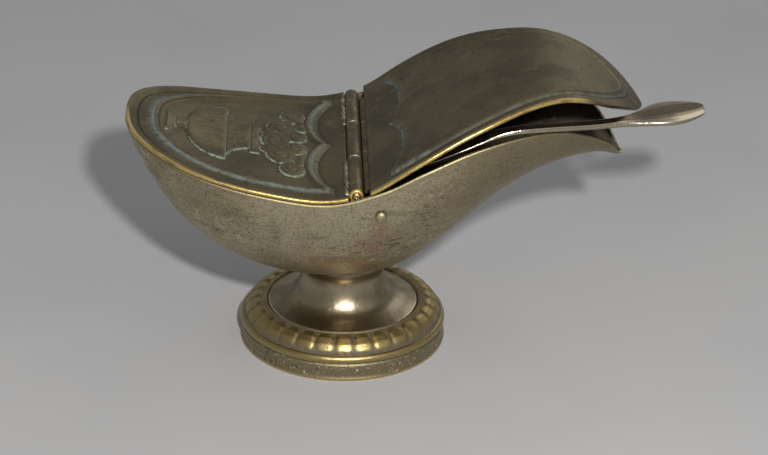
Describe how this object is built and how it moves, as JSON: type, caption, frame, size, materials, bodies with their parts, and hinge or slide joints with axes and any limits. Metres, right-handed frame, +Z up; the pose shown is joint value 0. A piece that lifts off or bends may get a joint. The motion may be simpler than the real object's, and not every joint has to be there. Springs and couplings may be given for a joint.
{
  "type": "incense boat with spoon",
  "caption": "Boat-shaped incense holder on a gadrooned foot, with a fixed embossed cover, a hinged lid over the prow and a loose spoon.",
  "frame": {"origin": "on the table, at the middle of the whole object's box", "axes": "+X towards the prow and the spoon's handle, +Y towards the far side, +Z up"},
  "size_m": [0.1812, 0.0846, 0.0968],
  "materials": {
    "worn_silver": "worn silver plate over brass, pitted and streaked, satin",
    "dark_bronze": "dark brown patina with grey-green verdigris in the hollows and gold edges",
    "hinge_brass": "dull tarnished brass with pale solder traces",
    "pin_brass": "worn yellow brass",
    "foot_brass": "golden brass, dark in the hollows, rough side band",
    "stem_silver": "worn silver plate, semi-gloss",
    "spoon_silver": "silver plate worn to a warm tint, glossy edges",
    "dull_steel": "dull, stained"
  },
  "bodies": {
    "hull": {"bowl": "worn_silver", "stern_cover": "dark_bronze", "cross_bar": "hinge_brass", "rivet_near": "worn_silver", "rivet_far": "worn_silver", "stem": "stem_silver", "foot_ring": "foot_brass", "tie_screw": "dull_steel", "tie_washer": "dull_steel", "tie_nut": "dull_steel", "hinge_knuckle_near": "hinge_brass", "hinge_knuckle_far": "hinge_brass", "hinge_pin": "pin_brass"},
    "lid": {"prow_lid": "dark_bronze", "hinge_leaf": "hinge_brass", "hinge_knuckle_centre": "hinge_brass"},
    "spoon": {"spoon": "spoon_silver"}
  },
  "joints": [
    {"name": "lid_hinge", "type": "hinge", "parent": "hull", "child": "lid", "pos_m": [-0.01863, 0, 0.0679], "axis": [0, -1, 0], "range_deg": [0, 125]},
    {"name": "spoon_lift_out", "type": "slide", "parent": "hull", "child": "spoon", "axis": [0.9246, 0.3791, -0.037], "range_m": [0, 0.13]}
  ]
}
